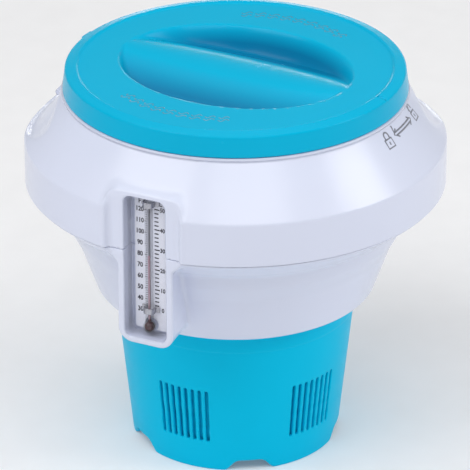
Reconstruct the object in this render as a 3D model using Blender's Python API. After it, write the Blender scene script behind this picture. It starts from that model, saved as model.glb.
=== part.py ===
"""Floating chlorine dispenser with thermometer. Metres, +Z up, origin under the middle of the feet.

The thermometer faces -Y. Sizes below are millimetres until a mesh is made. Azimuths run from -Y
towards +X, in degrees, and outlines are (radius, height) or (x, height)."""

import math

import bmesh
import bpy

MM = 0.001
SEG = 48  # sides of the round parts
GAP = 0.3  # between pieces that touch in the real product

# Basket: slotted cup on five feet
BASKET_AZ = -2.0  # middle of the first group of slots
BASKET_R, BASKET_Z, BASKET_SLOPE = 50.2, 38.7, 0.107  # outside radius at a height, and its slope
BASKET_WALL, BASKET_TOP = 2.0, 71.4
RIDGE_Z = 61.7
FLOOR_LOW, FLOOR_HIGH, FLOOR_HOLE_R = 8.0, 10.0, 5.2
GROUPS, SLOTS, SLOT_PITCH, SLOT_W = 5, 8, 3.75, 1.5  # the pitch is in degrees
SLOT_LOW, SLOT_HIGH = 14.4, 40.7
NOTCH_AZ, NOTCH_TOP, NOTCH_HALF_LOW, NOTCH_HALF_TOP = 34.0, 4.7, 12.8, 7.5
SPIGOT_R, SPIGOT_TOP = 51.8, 84.0

# Float: two shells welded at the lower edge of the collar band
WALL = 2.2
COLLAR_R, SEAM_Z = 92.5, 123.2
BOWL_LOW, BOWL_HOLE_R = 72.0, 52.3
LIP_R = 88.0  # inside of the lip, and of the tongue that stands up from it
TONGUE_TOP, TONGUE_GAP = 127.0, 32.0
SHOULDER_Z = 142.9  # where the collar band turns into the shoulder
STEP_Z = 164.2  # foot of the low step under the lid
LEDGE_R, LEDGE_Z = 75.3, 165.6
NECK_R, NECK_IN, NECK_TOP = 70.2, 67.6, 172.6
BOWL = [
    (54.3, BOWL_LOW, 0), (61.4, 72.4, 3.0), (65.4, 83.5, 12), (69.6, 95.5, 20), (73.6, 103.0, 10),
    (76.8, 110.8, 8), (91.2, 122.0, 1.2), (91.7, SEAM_Z - GAP / 2, 0),
]
SHOULDER = [
    (COLLAR_R, SEAM_Z + GAP / 2, 0), (COLLAR_R, SHOULDER_Z, 3.0), (LEDGE_R, STEP_Z, 0.4),
    (LEDGE_R, LEDGE_Z, 0.5),
]

# Thermometer housing on the front of the float
FACE_Y = 88.5  # its flat face, this far in front of the axis
BOSS_HALF, BOSS_WIDE, BOSS_LOW, BOSS_TOP = 13.2, 16.8, 79.7, 150.4
POCKET_HALF, POCKET_LOW, POCKET_TOP, POCKET_BACK = 9.9, 82.4, 148.8, 80.7
TUBE_Y = POCKET_BACK + 3.25
BULB_Z, BULB_R, TUBE_R, TUBE_TOP, SPIRIT_TOP = 86.9, 2.85, 1.8, 145.6, 120.4
GLASS_WALL, SPIRIT_GAP = 0.45, 0.2
CLIPS = {"tube_clip_lower": 93.4, "tube_clip_upper": 143.6}
CLIP_HEIGHT = 2.8

# Two long hollows pressed into the shoulder. The left one holds the tether bar.
TETHER_AZ, PLAIN_AZ = -84.0, 145.0
SLOPE_R, SLOPE_Z = (COLLAR_R + LEDGE_R) / 2, (SHOULDER_Z + STEP_Z) / 2  # middle of the shoulder
SLOPE_LENGTH = math.hypot(COLLAR_R - LEDGE_R, STEP_Z - SHOULDER_Z)
SLOPE_IN, SLOPE_UP = (COLLAR_R - LEDGE_R) / SLOPE_LENGTH, (STEP_Z - SHOULDER_Z) / SLOPE_LENGTH
DISH_LENGTH, DISH_HEIGHT, DISH_DEPTH, DISH_DROP = 46.0, 14.6, 3.4, 1.6
TETHER_BACK, WELL_HALF, WELL_LOW, WELL_TOP = 71.4, 7.0, 146.2, 161.6
BAR_R0, BAR_R1, BAR_LOW, BAR_TOP = 78.7, 81.6, 152.7, 155.1

# Lid: quarter-turn lock and a grip of two hollows with a ridge between them
LID_AZ = 87.0  # the pointer notch, in line with the grip
SKIRT_LOW, SKIRT_R, SKIRT_IN, RIM_R = 166.0, 75.5, 73.3, 74.4
PANEL_R, PANEL_Z, RIM_TOP = 68.6, 175.6, 176.5
GRIP_A, GRIP_B, GRIP_DEPTH, GRIP_RIM = 54.0, 43.0, 13.0, 7.0
LID_TURN = 18.0  # from locked to free
LUGS, LUG_HALF_SHELL, LUG_HALF_LID = 4, 11.0, 7.0

# Flow dial under the floor, which turns the sleeve inside the basket
DIAL_TURN = 180.0 / GROUPS  # from shut to open
DIAL_R, DIAL_LOW, DIAL_TOP = 32.0, 4.6, 7.4
HUB_R, SCREW_R, HUB_TOP = 4.8, 1.9, 7.7
SLEEVE_WALL, SLEEVE_TOP = 1.5, 46.0

# Colour, roughness and metallic of each material
MATERIALS = {
    "white_shell": ((0.76, 0.79, 0.90), 0.25, 0.0),
    "liner_plastic": ((0.55, 0.58, 0.62), 0.45, 0.0),
    "teal_plastic": ((0.0, 0.45, 0.74), 0.33, 0.0),
    "lid_plastic": ((0.0, 0.48, 0.74), 0.28, 0.0),
    "clear_plastic": ((0.90, 0.93, 0.95), 0.08, 0.0),
    "printed_card": ((0.86, 0.87, 0.90), 0.55, 0.0),
    "tube_glass": ((0.92, 0.94, 0.95), 0.05, 0.0),
    "red_spirit": ((0.24, 0.03, 0.03), 0.20, 0.0),
    "clip_metal": ((0.55, 0.55, 0.57), 0.35, 1.0),
    "screw_steel": ((0.60, 0.60, 0.62), 0.30, 1.0),
}


# ---------------------------------------------------------------- meshes


def clear_scene():
    for obj in list(bpy.data.objects):
        bpy.data.objects.remove(obj, do_unlink=True)


def mesh_object(name, verts, faces):
    mesh = bpy.data.meshes.new(name)
    mesh.from_pydata([(x * MM, y * MM, z * MM) for x, y, z in verts], [], faces)
    bm = bmesh.new()
    bm.from_mesh(mesh)
    bmesh.ops.remove_doubles(bm, verts=bm.verts, dist=1e-7)
    bmesh.ops.recalc_face_normals(bm, faces=bm.faces)
    if bm.calc_volume(signed=True) < 0:
        bmesh.ops.reverse_faces(bm, faces=bm.faces)
    bm.to_mesh(mesh)
    bm.free()
    obj = bpy.data.objects.new(name, mesh)
    bpy.context.collection.objects.link(obj)
    return obj


def finish(obj, material_name):
    """The material, made once, and smooth shading that stays crisp at the edges."""
    material = bpy.data.materials.get(material_name)
    if material is None:
        colour, roughness, metallic = MATERIALS[material_name]
        material = bpy.data.materials.new(material_name)
        material.use_nodes = True
        shader = material.node_tree.nodes["Principled BSDF"]
        shader.inputs["Base Color"].default_value = (*colour, 1.0)
        shader.inputs["Roughness"].default_value = roughness
        shader.inputs["Metallic"].default_value = metallic
    obj.data.materials.clear()
    obj.data.materials.append(material)
    obj.data.shade_smooth()
    obj.data.set_sharp_from_angle(angle=math.radians(35))
    return obj


def at(az, r, z):
    a = math.radians(az)
    return (r * math.sin(a), -r * math.cos(a), z)


def beside(az, r, side, z):
    """A point at a radius in this direction, and this far sideways from there."""
    a = math.radians(az)
    return (r * math.sin(a) + side * math.cos(a), -r * math.cos(a) + side * math.sin(a), z)


def mirrored(side):
    """The right half of a front outline, continued down its left half."""
    return side + [(-corner[0], *corner[1:]) for corner in reversed(side)]


def rounded(points, steps=3):
    """Corners (u, v, radius) to a closed outline with each corner rounded."""
    out = []
    n = len(points)
    for i, (x, y, radius) in enumerate(points):
        if radius <= 0:
            out.append((x, y))
            continue
        ax, ay = points[i - 1][:2]
        bx, by = points[(i + 1) % n][:2]
        ux, uy, vx, vy = ax - x, ay - y, bx - x, by - y
        length_u, length_v = math.hypot(ux, uy), math.hypot(vx, vy)
        ux, uy, vx, vy = ux / length_u, uy / length_u, vx / length_v, vy / length_v
        half = math.acos(max(-1.0, min(1.0, ux * vx + uy * vy))) / 2
        cut_back = min(radius / math.tan(half), 0.49 * length_u, 0.49 * length_v)
        radius = cut_back * math.tan(half)
        mx, my = ux + vx, uy + vy
        to_centre = radius / math.sin(half) / math.hypot(mx, my)
        cx, cy = x + mx * to_centre, y + my * to_centre
        first = math.atan2(y + uy * cut_back - cy, x + ux * cut_back - cx)
        last = math.atan2(y + vy * cut_back - cy, x + vx * cut_back - cx)
        turn = (last - first + math.pi) % (2 * math.pi) - math.pi
        for k in range(steps + 1):
            a = first + turn * k / steps
            out.append((cx + radius * math.cos(a), cy + radius * math.sin(a)))
    return out


def inset(profile, distance):
    """A profile moved in by the wall thickness, along its own normals."""
    points = rounded(profile, 1)
    out = []
    for i, (r, z) in enumerate(points):
        last_r, last_z = points[max(i - 1, 0)]
        next_r, next_z = points[min(i + 1, len(points) - 1)]
        dr, dz = next_r - last_r, next_z - last_z
        length = math.hypot(dr, dz)
        out.append((r - distance * dz / length, z + distance * dr / length))
    return out


def lathe(name, profile, seg=SEG, x=0.0, y=0.0):
    """A closed (radius, height) outline turned about the upright line through x, y."""
    verts, rings = [], []
    for r, z in profile:
        start = len(verts)
        if r < 1e-6:
            rings.append([start] * seg)
            verts.append((x, y, z))
            continue
        rings.append(list(range(start, start + seg)))
        for k in range(seg):
            px, py, _ = at(360.0 * k / seg, r, z)
            verts.append((x + px, y + py, z))
    faces = []
    for a, b in zip(rings, rings[1:] + rings[:1]):
        for k in range(seg):
            m = (k + 1) % seg
            corners = list(dict.fromkeys((a[k], a[m], b[m], b[k])))
            if len(corners) > 2:
                faces.append(corners)
    return mesh_object(name, verts, faces)


def loft(name, loops, curved=False):
    """Loops of equal length, joined in order. Each end is one flat face, or ribs that follow a curve."""
    n = len(loops[0])
    verts = [point for loop in loops for point in loop]
    ends = [list(range(n))]
    if curved:
        ends = [list(dict.fromkeys((k, k + 1, n - 1 - k, (n - k) % n))) for k in range(n // 2)]
    faces = [end[::-1] for end in ends] + [[len(verts) - n + k for k in end] for end in ends]
    for j in range(len(loops) - 1):
        for k in range(n):
            m = (k + 1) % n
            faces.append([j * n + k, j * n + m, (j + 1) * n + m, (j + 1) * n + k])
    return mesh_object(name, verts, faces)


def front_prism(name, outline, front, back, scale_back=1.0, drop_back=0.0):
    """A front outline carried back. The depths are distances in front of the axis."""
    near = [(x, -front, z) for x, z in outline]
    far = [(x * scale_back, -back, z - drop_back) for x, z in outline]
    return loft(name, [near, far])


def front_plate(name, half, low, top, radius, front, back):
    corners = [(-half, low, radius), (half, low, radius), (half, top, radius), (-half, top, radius)]
    return front_prism(name, rounded(corners), front, back)


def box(name, x0, x1, y0, y1, z0, z1):
    return loft(name, [[(x0, y0, z), (x1, y0, z), (x1, y1, z), (x0, y1, z)] for z in (z0, z1)])


def radial_box(name, az, r0, r1, half, z0, z1):
    """A box square to the radius at an azimuth."""
    corners = ((r0, -half), (r1, -half), (r1, half), (r0, half))
    return loft(name, [[beside(az, r, side, z) for r, side in corners] for z in (z0, z1)])


def wedge(name, r0, r1, z0, z1, az, half, steps=4):
    """Part of a ring: inside and outside radius, heights, middle azimuth and half width."""
    angles = [az - half + 2 * half * k / steps for k in range(steps + 1)]
    low = [at(a, r1, z0) for a in angles] + [at(a, r0, z0) for a in reversed(angles)]
    return loft(name, [low, [(x, y, z1) for x, y, _ in low]])


def boolean(target, tool, kind, solver):
    modifier = target.modifiers.new("cut", "BOOLEAN")
    modifier.object = tool
    modifier.operation = kind
    modifier.solver = solver
    bpy.context.view_layer.update()
    graph = bpy.context.evaluated_depsgraph_get()
    mesh = bpy.data.meshes.new_from_object(target.evaluated_get(graph))
    target.modifiers.clear()
    old = target.data
    target.data = mesh
    bpy.data.meshes.remove(old)
    mesh.name = target.name
    bpy.data.objects.remove(tool, do_unlink=True)


def cut(target, *tools, solver="EXACT"):
    for tool in tools:
        boolean(target, tool, "DIFFERENCE", solver)
    return target


def add(target, *tools, solver="EXACT"):
    for tool in tools:
        boolean(target, tool, "UNION", solver)
    return target


# ---------------------------------------------------------------- basket and flow control


def basket_r(z):
    return BASKET_R + BASKET_SLOPE * (z - BASKET_Z)


def slot_cutters(r0, r1, first):
    """All the slots of one ring as one mesh, each a plain box. The first group is at this azimuth."""
    verts, faces = [], []
    sides = ((3, 2, 1, 0), (4, 5, 6, 7), (0, 1, 5, 4), (1, 2, 6, 5), (2, 3, 7, 6), (3, 0, 4, 7))
    for group in range(GROUPS):
        for slot in range(SLOTS):
            az = first + 360.0 / GROUPS * group + SLOT_PITCH * (slot - (SLOTS - 1) / 2)
            base = len(verts)
            for z in (SLOT_LOW, SLOT_HIGH):
                for r, side in ((r0, -1), (r1, -1), (r1, 1), (r0, 1)):
                    verts.append(beside(az, r, side * SLOT_W / 2, z))
            faces += [[base + i for i in side] for side in sides]
    return mesh_object("slots", verts, faces)


def foot_notch(az):
    """The opening between two feet, flared at the bottom."""
    side = [(NOTCH_HALF_TOP, NOTCH_TOP, 3.0), (NOTCH_HALF_LOW, 0.6, 1.0), (NOTCH_HALF_LOW + 1.2, -1, 0)]
    outline = rounded(mirrored(side))
    return loft("notch", [[at(az + a, r, z) for a, z in outline] for r in (38.0, 56.0)])


def make_basket():
    inside = BASKET_WALL
    under = inside + 1.0  # the feet are a little thicker than the wall
    basket = lathe("basket", [
        (basket_r(0), 0), (basket_r(RIDGE_Z), RIDGE_Z), (basket_r(RIDGE_Z) + 0.35, RIDGE_Z + 0.5),
        (basket_r(BASKET_TOP) + 0.2, BASKET_TOP), (SPIGOT_R, BASKET_TOP), (SPIGOT_R, SPIGOT_TOP),
        (SPIGOT_R - inside, SPIGOT_TOP), (SPIGOT_R - inside, BASKET_TOP - 1.5), (basket_r(50) - inside, 50),
        (basket_r(FLOOR_HIGH) - inside, FLOOR_HIGH), (FLOOR_HOLE_R, FLOOR_HIGH), (FLOOR_HOLE_R, FLOOR_LOW),
        (basket_r(FLOOR_LOW) - under, FLOOR_LOW), (basket_r(0) - under, 0),
    ])
    cut(basket, slot_cutters(44.0, 60.0, BASKET_AZ))
    for k in range(GROUPS):
        cut(basket, foot_notch(NOTCH_AZ + 360.0 / GROUPS * k))
    # Stops for the dial's pointer.
    for az in (BASKET_AZ - 4.5, BASKET_AZ + DIAL_TURN + 4.5):
        add(basket, wedge("stop", DIAL_R + 1.2, DIAL_R + 5.0, 4.8, FLOOR_LOW + 0.5, az, 1.0, 2))
    return basket


def make_sleeve():
    low = FLOOR_HIGH + 0.4
    floor = low + SLEEVE_WALL

    def outside(z):
        return basket_r(z) - BASKET_WALL - 0.4

    sleeve = lathe("flow_sleeve", [
        (outside(low), low), (outside(SLEEVE_TOP), SLEEVE_TOP),
        (outside(SLEEVE_TOP) - SLEEVE_WALL, SLEEVE_TOP), (outside(floor) - SLEEVE_WALL, floor),
        (8.0, floor), (7.4, floor + 5), (SCREW_R, floor + 5), (SCREW_R, HUB_TOP), (HUB_R, HUB_TOP),
        (HUB_R, low),
    ])
    return cut(sleeve, slot_cutters(36.0, 60.0, BASKET_AZ - DIAL_TURN))


def make_dial():
    dial = lathe("flow_dial", [
        (SCREW_R, DIAL_LOW), (SCREW_R, DIAL_TOP), (DIAL_R - 1, DIAL_TOP), (DIAL_R, DIAL_TOP - 0.8),
        (DIAL_R, DIAL_LOW + 0.6), (DIAL_R - 1, DIAL_LOW),
    ])
    outline = rounded([(-26, -5, 5), (26, -5, 5), (26, 5, 5), (-26, 5, 5)])
    top = [(x, y, DIAL_LOW + 0.8) for x, y in outline]
    add(dial, loft("grip", [top, [(x * 0.97, y * 0.86, 1.0) for x, y in outline]]))
    bore = [(0, 0), (0, 9), (SCREW_R, 9), (SCREW_R, 3.4), (3.7, 3.4), (3.7, 0)]
    cut(dial, lathe("bore", bore, 24))
    return add(dial, wedge("pointer", DIAL_R - 3, DIAL_R + 2.5, 4.8, 7.2, BASKET_AZ, 3.0, 2))


def make_screw():
    screw = lathe("dial_screw", [
        (0, 1.7), (0, 15.8), (1.0, 15.8), (1.5, 14.8), (1.5, 3.2), (3.3, 3.2), (3.3, 2.3), (2.6, 1.7),
    ], 20)
    for half_x, half_y in ((0.4, 1.8), (1.8, 0.4)):
        cut(screw, box("cross", -half_x, half_x, -half_y, half_y, 1.0, 2.5))
    return screw


# ---------------------------------------------------------------- float


def boss_lower():
    """The housing below the collar: it narrows through two rounded shoulders and towards the float."""
    side = [
        (BOSS_WIDE, SEAM_Z - GAP / 2, 0), (BOSS_WIDE - 0.6, 119.2, 2), (BOSS_HALF, 115.8, 4),
        (BOSS_HALF, BOSS_LOW, 6.5),
    ]
    return front_prism("boss", rounded(mirrored(side)), FACE_Y, 50.0, 0.45, 4.5)


def boss_inside():
    side = [(BOSS_HALF - WALL, SEAM_Z - 2, 0), (BOSS_HALF - WALL, BOSS_LOW + WALL, 4.5)]
    return front_prism("inside", rounded(mirrored(side)), FACE_Y - WALL, 40.0, 0.3, 5.0)


def pocket(extra):
    """Where the thermometer sits, or with an extra wall thickness, the block around it."""
    return front_plate(
        "pocket", POCKET_HALF + extra, POCKET_LOW - extra, POCKET_TOP + extra, 3 + extra,
        100.0, POCKET_BACK - extra,
    )


def face_recess():
    """The flat front of the housing, sunk into the collar band: a tray with sloping ends."""
    top = BOSS_TOP + 8
    loops = []
    for y, half in ((FACE_Y, BOSS_WIDE), (FACE_Y + 8, BOSS_WIDE + 4.0)):
        loops.append([(-half, -y, 100.0), (half, -y, 100.0), (half, -y, top), (-half, -y, top)])
    return loft("recess", loops)


def make_lower_shell():
    # The exact solver leaves doubled edges where these turned walls meet.
    solver = "MANIFOLD"
    shell = lathe("lower_shell", [(0, BOWL_LOW)] + rounded(BOWL) + [(0, SEAM_Z - GAP / 2)])
    add(shell, boss_lower(), solver=solver)
    cut(shell, face_recess(), solver=solver)
    wall = [p for p in inset(BOWL, WALL) if p[0] > 56.0 and BOWL_LOW + 2.0 < p[1] < 121.0]
    room = lathe("room", [
        (0, 60.0), (BOWL_HOLE_R, 60.0), (BOWL_HOLE_R, BOWL_LOW + 2.4), *wall,
        (LIP_R, 122.0), (LIP_R, 130.0), (0, 130.0),
    ])
    add(room, boss_inside(), solver=solver)
    cut(room, pocket(WALL), solver=solver)
    cut(shell, room, pocket(0), solver=solver)
    # The tongue at the weld is left out where the housing is.
    low = SEAM_Z - 1.0
    tongue = lathe("tongue", [
        (LIP_R, low), (LIP_R, TONGUE_TOP), (LIP_R + 1.5, TONGUE_TOP), (LIP_R + 1.5, low),
    ])
    cut(tongue, box("gap", -TONGUE_GAP, TONGUE_GAP, -100, -60, 100, 140), solver=solver)
    return add(shell, tongue, solver=solver)


def on_shoulder(az, u, w, n):
    """A point beside this azimuth: u around the shoulder, w up its slope, n out of it."""
    r = SLOPE_R - SLOPE_IN * w + SLOPE_UP * n
    return at(az + math.degrees(u / SLOPE_R), r, SLOPE_Z + SLOPE_UP * w + SLOPE_IN * n)


def dish(az, grow):
    """One of the hollows, with a soft edge and an even depth."""
    loops = []
    for n, k in ((-DISH_DEPTH, 0.78), (-2.2, 0.9), (-0.7, 1.0), (8.0, 1.15)):
        loop = []
        for i in range(36):
            a = 2 * math.pi * i / 36
            u, w = (DISH_LENGTH * k + grow) * math.cos(a), (DISH_HEIGHT * k + grow) * math.sin(a)
            loop.append(on_shoulder(az, u, w - DISH_DROP, n - grow))
        loops.append(loop)
    return loft("dish", loops, curved=True)


def tether_well(grow):
    """The room behind the bar for a cord."""
    return radial_box(
        "well", TETHER_AZ, TETHER_BACK - grow, 100, WELL_HALF + grow, WELL_LOW - grow, WELL_TOP + grow
    )


def housing_block():
    """The housing's upper part, with rounded top corners that stand a little out of the shoulder."""
    side = [(BOSS_WIDE, BOSS_TOP, 4.0), (BOSS_WIDE, SEAM_Z + GAP / 2, 0)]
    return front_prism("block", rounded(mirrored(side)), FACE_Y, 70.0)


def make_upper_shell():
    solver = "MANIFOLD"  # as for the lower shell
    shell = lathe("upper_shell", [
        (0, SEAM_Z + GAP / 2), *rounded(SHOULDER), (NECK_R, LEDGE_Z), (NECK_R, NECK_TOP), (0, NECK_TOP),
    ])
    add(shell, housing_block(), solver=solver)
    cut(shell, face_recess(), solver=solver)
    wall = [p for p in inset(SHOULDER, WALL) if p[0] > 76.0 and SEAM_Z + 3 < p[1] < 161.0]
    room = lathe("room", [
        (0, 110.0), (COLLAR_R - WALL, 110.0), (COLLAR_R - WALL, SEAM_Z + 2.5), *wall,
        (NECK_IN, 162.6), (NECK_IN, 180.0), (0, 180.0),
    ])
    # The wall is thicker behind the housing's face.
    cut(room, box("front", -30, 30, -100, -FACE_Y + WALL, 100, 156), solver=solver)
    cut(room, pocket(WALL), dish(TETHER_AZ, 2.0), dish(PLAIN_AZ, 2.0), tether_well(2.0), solver=solver)
    cut(shell, room, pocket(0), dish(TETHER_AZ, 0.0), dish(PLAIN_AZ, 0.0), tether_well(0.0), solver=solver)
    add(shell, radial_box("bar", TETHER_AZ, BAR_R0, BAR_R1, WELL_HALF + 1.5, BAR_LOW, BAR_TOP), solver=solver)
    for k in range(LUGS):
        az = LID_AZ + 360.0 / LUGS * k - 1
        add(shell, wedge("lug", NECK_R - 1.0, 72.5, 169.4, 171.6, az, LUG_HALF_SHELL), solver=solver)
    # Stops for the lid's lugs: locked, and turned far enough to lift off.
    for az, top in ((LID_AZ - 8.5, 170.5), (LID_AZ + LID_TURN + 8.5, 168.8)):
        add(shell, wedge("stop", NECK_R - 1.0, 72.5, 164.6, top, az, 1.0, 2), solver=solver)
    return shell


def make_liner():
    """The tablet chamber's wall, which seals the air space of the float on its inside."""
    wall = 1.8
    outside = [(49.4, 76.0), (49.4, 92.0), (58.0, 128.0), (65.4, 152.0), (67.0, 158.0), (67.0, 171.4)]
    inside = [(r - wall, z + (0.3 if 76.0 < z < 171.4 else 0.0)) for r, z in reversed(outside)]
    return lathe("chamber_liner", outside + inside)


# ---------------------------------------------------------------- lid


def smooth_step(t):
    t = min(1.0, max(0.0, t))
    return t * t * (3 - 2 * t)


def grip_depth(u, v):
    """Depth below the panel, for a point along and across the grip."""
    if abs(u) >= GRIP_A:
        return 0.0
    along = math.sqrt(1 - (u / GRIP_A) ** 2)
    edge = GRIP_B * along
    ridge = (v / (0.76 * edge)) ** 2
    fall = ridge / (1 + ridge**3) ** (1 / 3)
    rise = smooth_step((edge - abs(v)) / GRIP_RIM)
    return GRIP_DEPTH * along**1.4 * fall * rise


def lid_sheet(depth, panel_r, grow):
    """Rings of the lid's top or underside: ellipses inside the grip, a circle around it."""
    rings = []
    for share in (0.25, 0.45, 0.62, 0.78, 0.88, 1.0):
        ring = []
        for k in range(SEG):
            a = 2 * math.pi * k / SEG
            u, v = GRIP_A * share * math.cos(a), GRIP_B * share * math.sin(a)
            z = PANEL_Z - depth - grip_depth(u, v)
            ring.append(beside(LID_AZ, u * (1 + grow / GRIP_A), v * (1 + grow / GRIP_B), z))
        rings.append(ring)
    return rings + [lid_ring(panel_r, PANEL_Z - depth)]


def lid_ring(r, z):
    angles = [2 * math.pi * k / SEG for k in range(SEG)]
    return [beside(LID_AZ, r * math.cos(a), r * math.sin(a), z) for a in angles]


def pointer_groove():
    """A notch across the rim that points at the lock marks."""
    loops = []
    for r in (69.6, 80.0):
        corners = ((-1.5, 178.0), (1.5, 178.0), (0.5, 175.2), (-0.5, 175.2))
        loops.append([beside(LID_AZ, r, side, z) for side, z in corners])
    return loft("groove", loops)


def make_lid():
    side = [
        (69.2, RIM_TOP), (RIM_R - 0.9, 175.9), (RIM_R, 175.0), (SKIRT_R, SKIRT_LOW + 0.5),
        (SKIRT_R - 0.4, SKIRT_LOW), (SKIRT_IN, SKIRT_LOW), (SKIRT_IN - 0.4, 173.2),
    ]
    rings = lid_sheet(0.0, PANEL_R, 0.0)
    rings += [lid_ring(r, z) for r, z in side]
    rings += lid_sheet(WALL, PANEL_R - 1.0, 1.2)[::-1]
    verts = [point for ring in rings for point in ring]
    top, under = len(verts), len(verts) + 1
    verts += [(0, 0, PANEL_Z), (0, 0, PANEL_Z - WALL)]
    faces = []
    last = (len(rings) - 1) * SEG
    for k in range(SEG):
        m = (k + 1) % SEG
        faces += [[top, m, k], [under, last + k, last + m]]
        for j in range(len(rings) - 1):
            a, b = j * SEG, (j + 1) * SEG
            faces.append([a + k, a + m, b + m, b + k])
    lid = mesh_object("lid", verts, faces)
    for k in range(LUGS):
        az = LID_AZ + 360.0 / LUGS * k
        add(lid, wedge("lug", 70.9, 74.0, 166.4, 168.6, az, LUG_HALF_LID, 3))
    # Raised tab on the rim, opposite the pointer.
    add(lid, wedge("tab", 74.0, 76.6, 168.0, 174.2, LID_AZ - 181.0, 3.2, 2))
    return cut(lid, pointer_groove())


# ---------------------------------------------------------------- thermometer


def make_cover():
    half, low, top = POCKET_HALF - 0.35, POCKET_LOW + 0.35, POCKET_TOP - 0.35
    wall = 1.0
    cover = front_plate("thermometer_cover", half, low, top, 2.7, FACE_Y + 0.3, POCKET_BACK + 0.4)
    room = front_plate("room", half - wall, low + wall, top - wall, 1.6, FACE_Y - 1.1, 70.0)
    return cut(cover, room)


def make_card():
    half, low, top = POCKET_HALF - 2.05, POCKET_LOW + 2.05, POCKET_TOP - 2.05
    card = front_plate("thermometer_card", half, low, top, 1.2, POCKET_BACK + 1.2, POCKET_BACK + 0.5)
    hole = []
    for k in range(16):
        a = 2 * math.pi * k / 16
        hole.append((3.1 * math.cos(a), BULB_Z + 3.1 * math.sin(a)))
    return cut(card, front_prism("hole", hole, 90.0, 76.0))


def bulb(radius, last):
    """A ball's outline from its lowest point up to this angle, in steps of about 20 degrees."""
    angles = [last * k / 7 for k in range(8)]
    return [(radius * math.sin(math.radians(a)), BULB_Z - radius * math.cos(math.radians(a))) for a in angles]


def make_tube():
    bore = [(0.62, TUBE_TOP), (0.62, BULB_Z + 3.8)] + bulb(BULB_R - GLASS_WALL, 150)[::-1]
    outside = bulb(BULB_R, 145) + [(TUBE_R, BULB_Z + 3.4), (TUBE_R, TUBE_TOP)]
    return lathe("thermometer_tube", outside + bore, 20, y=-TUBE_Y)


def make_spirit():
    ball = bulb(BULB_R - GLASS_WALL - SPIRIT_GAP, 155)
    column = [(0.5, BULB_Z + 3.6), (0.5, SPIRIT_TOP), (0, SPIRIT_TOP + 0.2)]
    return lathe("thermometer_spirit", ball + column, 16, y=-TUBE_Y)


def make_clip(name, z):
    """A bent strip over the front of the tube, with a foot on each side of it."""
    top = z + CLIP_HEIGHT
    clip = lathe(name, [(2.0, z), (2.0, top), (2.6, top), (2.6, z)], 20, y=-TUBE_Y)
    cut(clip, box("back", -5, 5, -TUBE_Y + 0.4, -TUBE_Y + 6, z - 2, top + 2))
    for left, right in ((1.95, 4.2), (-4.2, -1.95)):
        add(clip, box("foot", left, right, -TUBE_Y + 1.35, -TUBE_Y + 1.85, z, top))
    for left, right in ((1.95, 2.5), (-2.5, -1.95)):
        add(clip, box("leg", left, right, -TUBE_Y + 0.2, -TUBE_Y + 1.85, z, top))
    return clip


clear_scene()
finish(make_basket(), "teal_plastic")
finish(make_sleeve(), "teal_plastic")
finish(make_dial(), "teal_plastic")
finish(make_screw(), "screw_steel")
finish(make_lower_shell(), "white_shell")
finish(make_upper_shell(), "white_shell")
finish(make_liner(), "liner_plastic")
finish(make_lid(), "lid_plastic")
finish(make_cover(), "clear_plastic")
finish(make_card(), "printed_card")
finish(make_tube(), "tube_glass")
finish(make_spirit(), "red_spirit")
for clip_name, height in CLIPS.items():
    finish(make_clip(clip_name, height), "clip_metal")
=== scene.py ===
"""Looks of the floating chlorine dispenser: moulded shells, twist-lock lid, slotted basket, thermometer.

Sizes are millimetres until a mesh is made, in the frame of the CAD model: +Z up, the thermometer faces
-Y. Azimuths are degrees, from -Y towards +X. Most pieces are skins: the surface where a signed distance,
negative inside the plastic, is zero. That gives every edge and junction its moulded radius."""

import math

import bpy
import numpy as np
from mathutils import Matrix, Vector


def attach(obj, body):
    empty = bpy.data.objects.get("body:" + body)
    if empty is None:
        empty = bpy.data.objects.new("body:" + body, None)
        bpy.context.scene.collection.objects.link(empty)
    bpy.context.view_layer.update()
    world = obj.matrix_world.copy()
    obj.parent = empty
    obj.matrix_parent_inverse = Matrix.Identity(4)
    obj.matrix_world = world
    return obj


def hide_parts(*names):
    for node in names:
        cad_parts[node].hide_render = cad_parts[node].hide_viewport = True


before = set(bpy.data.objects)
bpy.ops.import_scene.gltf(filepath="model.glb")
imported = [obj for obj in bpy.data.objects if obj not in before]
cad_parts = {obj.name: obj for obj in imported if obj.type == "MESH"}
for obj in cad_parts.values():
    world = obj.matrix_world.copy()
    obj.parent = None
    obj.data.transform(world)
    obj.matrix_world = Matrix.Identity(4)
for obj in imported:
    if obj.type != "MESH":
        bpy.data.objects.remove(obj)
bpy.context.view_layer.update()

MM = 0.001
COARSE = 1.0  # grid steps grow by this while trying things

# How a skin is made from its field
BATCH = 100000  # points evaluated at a time
LATTICE_STEP, LATTICE_MARGIN = 0.125, 4
SETTLE_ROUNDS, SETTLE_REACH, SETTLE_MOST, FLATTEST = 3, 0.05, 0.5, 0.05
NORMAL_REACH = 0.22

# Float. The shells are welded, so only a hairline is left between them.
COLLAR_R, SEAM_Z, SEAM_GAP = 92.5, 123.2, 0.01
SHOULDER_Z, STEP_Z = 142.9, 164.2  # heights where the shoulder starts and ends
LEDGE_R, LEDGE_Z = 75.3, 165.6
SLOPE_R, SLOPE_Z = (COLLAR_R + LEDGE_R) / 2, (SHOULDER_Z + STEP_Z) / 2  # middle of the shoulder
SLOPE_LENGTH = math.hypot(COLLAR_R - LEDGE_R, STEP_Z - SHOULDER_Z)
SLOPE_IN, SLOPE_UP = (COLLAR_R - LEDGE_R) / SLOPE_LENGTH, (STEP_Z - SHOULDER_Z) / SLOPE_LENGTH

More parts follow.
